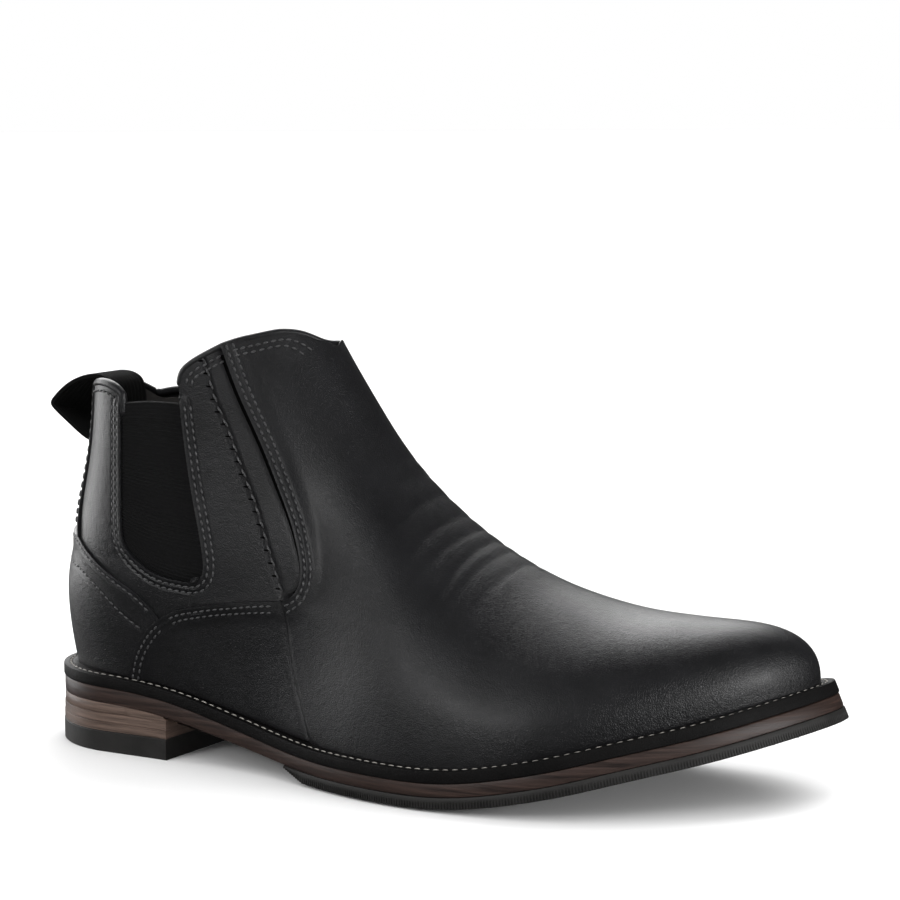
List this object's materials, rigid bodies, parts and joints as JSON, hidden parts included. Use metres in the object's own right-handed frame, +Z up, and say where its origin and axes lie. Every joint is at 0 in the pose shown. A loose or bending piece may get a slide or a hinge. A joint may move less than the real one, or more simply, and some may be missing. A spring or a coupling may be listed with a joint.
{
  "type": "chelsea boot",
  "caption": "Ankle-high slip-on leather boot with elastic side gores, a webbing pull loop at the back, welted sole, rubber forepart and low stacked heel",
  "frame": {"origin": "middle of the bounding box in plan, on the floor the boot stands on", "axes": "+X from the heel to the toe, +Y towards the inner side of the foot, +Z up"},
  "size_m": [0.3086, 0.1162, 0.1554],
  "materials": {
    "black_leather": "smooth waxed, satin",
    "elastic": "ribbed elastic, matte",
    "webbing": "ribbed webbing, matte",
    "black_rubber": "matte",
    "stacked_leather": "stained edge, satin",
    "welt_leather": "satin",
    "lining": "matte",
    "board": "matte",
    "cork": "matte",
    "steel": "satin"
  },
  "bodies": {
    "boot": {"heel_top_piece": "black_rubber", "outsole_forepart": "black_rubber", "heel_lift_lower": "stacked_leather", "heel_lift_upper": "stacked_leather", "heel_wedge": "stacked_leather", "midsole": "stacked_leather", "welt": "welt_leather", "insole_board": "board", "heel_stiffener": "board", "toe_puff": "board", "cork_filler": "cork", "steel_shank": "steel", "sock_liner": "lining", "vamp_lining": "lining", "quarter_lining_lateral": "lining", "quarter_lining_medial": "lining", "heel_lining": "lining", "gore_lateral": "elastic", "gore_medial": "elastic", "pull_loop_inner_tail": "webbing", "pull_loop_outer_tail": "webbing", "vamp": "black_leather", "front_quarter_lateral": "black_leather", "front_quarter_medial": "black_leather", "back_quarter_lateral": "black_leather", "back_quarter_medial": "black_leather", "side_foxing_lateral": "black_leather", "side_foxing_medial": "black_leather", "heel_counter_cover": "black_leather", "backstay": "black_leather", "heel_nail_1": "steel", "heel_nail_2": "steel", "heel_nail_3": "steel", "heel_nail_4": "steel", "heel_nail_5": "steel"},
    "pull_loop": {"pull_loop_bight": "webbing"}
  },
  "joints": [
    {"name": "pull_loop_swing", "type": "hinge", "parent": "boot", "child": "pull_loop", "pos_m": [-0.13181, 0.00238, 0.124], "axis": [0, 1, 0], "range_deg": [0, 60]}
  ]
}
